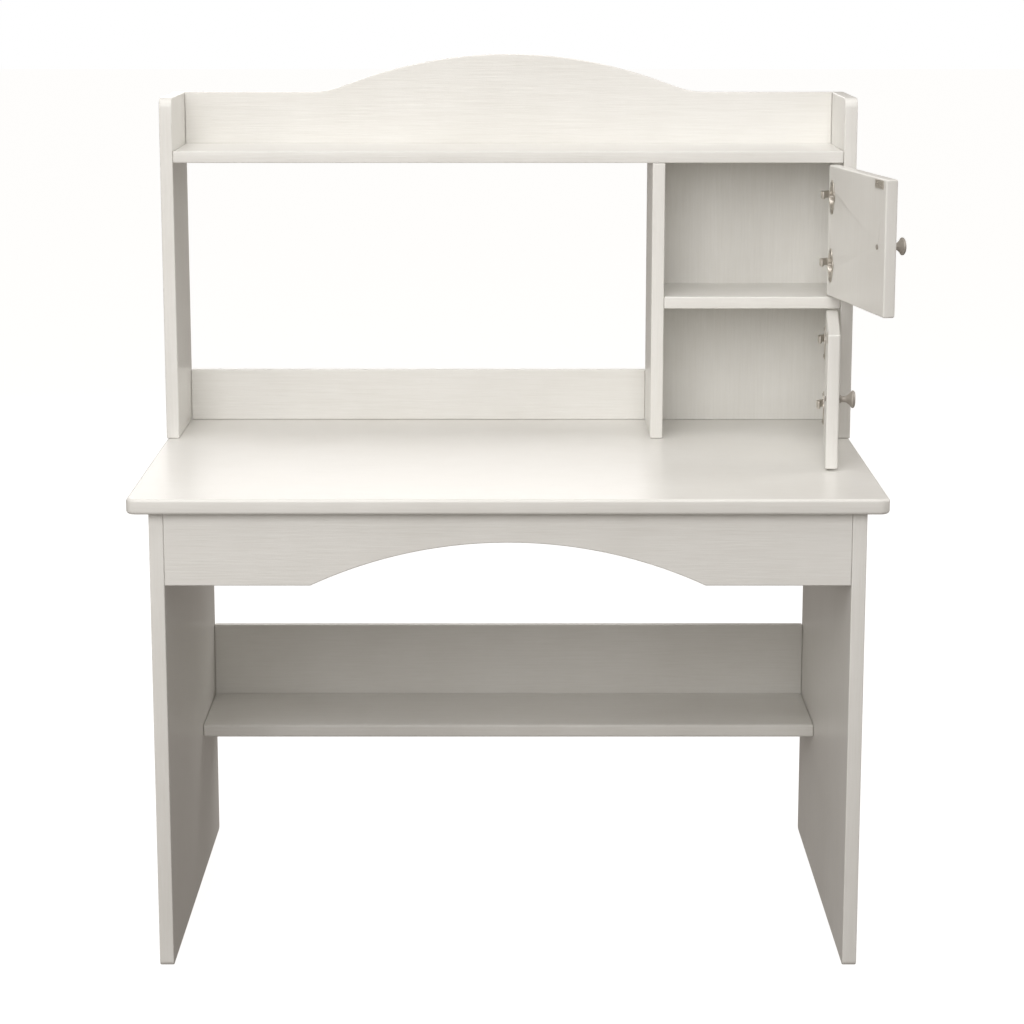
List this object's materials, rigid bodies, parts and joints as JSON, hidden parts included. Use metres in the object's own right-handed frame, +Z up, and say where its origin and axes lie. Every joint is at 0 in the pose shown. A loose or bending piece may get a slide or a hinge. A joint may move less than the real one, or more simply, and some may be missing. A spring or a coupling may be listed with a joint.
{
  "type": "desk with hutch",
  "caption": "White painted desk with full-height leg panels, arched apron and low shelf, carrying an open hutch with a crowned back board and a two-door cubby.",
  "frame": {"origin": "on the floor, in the middle of the box that the desk fills with its two doors open as modelled; the desk's own centre plane is at x = -0.0251 m", "axes": "+Z up, -Y towards the user at the front, +X towards the side with the two-door cubby"},
  "size_m": [1.2059, 0.7, 1.386],
  "materials": {
    "white_paint": "satin white paint over wood",
    "hinge_nickel": "nickel-plated pressed steel",
    "knob_pewter": "satin pewter",
    "screw_steel": "zinc-plated steel"
  },
  "bodies": {
    "desk": {"crown_board": "white_paint", "cubby_back": "white_paint", "cubby_shelf": "white_paint", "desktop": "white_paint", "front_apron": "white_paint", "hutch_back_rail": "white_paint", "hutch_divider": "white_paint", "hutch_left_side": "white_paint", "hutch_right_side": "white_paint", "hutch_top_shelf": "white_paint", "left_leg_panel": "white_paint", "low_shelf": "white_paint", "lower_bottom_hinge_arm": "hinge_nickel", "lower_bottom_hinge_plate": "hinge_nickel", "lower_bottom_plate_screw_lower": "screw_steel", "lower_bottom_plate_screw_upper": "screw_steel", "lower_top_hinge_arm": "hinge_nickel", "lower_top_hinge_plate": "hinge_nickel", "lower_top_plate_screw_lower": "screw_steel", "lower_top_plate_screw_upper": "screw_steel", "modesty_board": "white_paint", "right_leg_panel": "white_paint", "upper_bottom_hinge_arm": "hinge_nickel", "upper_bottom_hinge_plate": "hinge_nickel", "upper_bottom_plate_screw_lower": "screw_steel", "upper_bottom_plate_screw_upper": "screw_steel", "upper_top_hinge_arm": "hinge_nickel", "upper_top_hinge_plate": "hinge_nickel", "upper_top_plate_screw_lower": "screw_steel", "upper_top_plate_screw_upper": "screw_steel"},
    "upper_door": {"upper_bottom_cup_screw_lower": "screw_steel", "upper_bottom_cup_screw_upper": "screw_steel", "upper_bottom_hinge_cup": "hinge_nickel", "upper_door": "white_paint", "upper_knob": "knob_pewter", "upper_knob_screw": "screw_steel", "upper_strike_plate": "hinge_nickel", "upper_top_cup_screw_lower": "screw_steel", "upper_top_cup_screw_upper": "screw_steel", "upper_top_hinge_cup": "hinge_nickel"},
    "lower_door": {"lower_bottom_cup_screw_lower": "screw_steel", "lower_bottom_cup_screw_upper": "screw_steel", "lower_bottom_hinge_cup": "hinge_nickel", "lower_door": "white_paint", "lower_knob": "knob_pewter", "lower_knob_screw": "screw_steel", "lower_strike_plate": "hinge_nickel", "lower_top_cup_screw_lower": "screw_steel", "lower_top_cup_screw_upper": "screw_steel", "lower_top_hinge_cup": "hinge_nickel"}
  },
  "joints": [
    {"name": "upper_door_swing", "type": "hinge", "parent": "desk", "child": "upper_door", "pos_m": [0.52538, 0.154, 1.103], "axis": [0, 0, 1], "range_deg": [-101, 9]},
    {"name": "lower_door_swing", "type": "hinge", "parent": "desk", "child": "lower_door", "pos_m": [0.52538, 0.154, 0.861], "axis": [0, 0, 1], "range_deg": [-84, 26]}
  ]
}
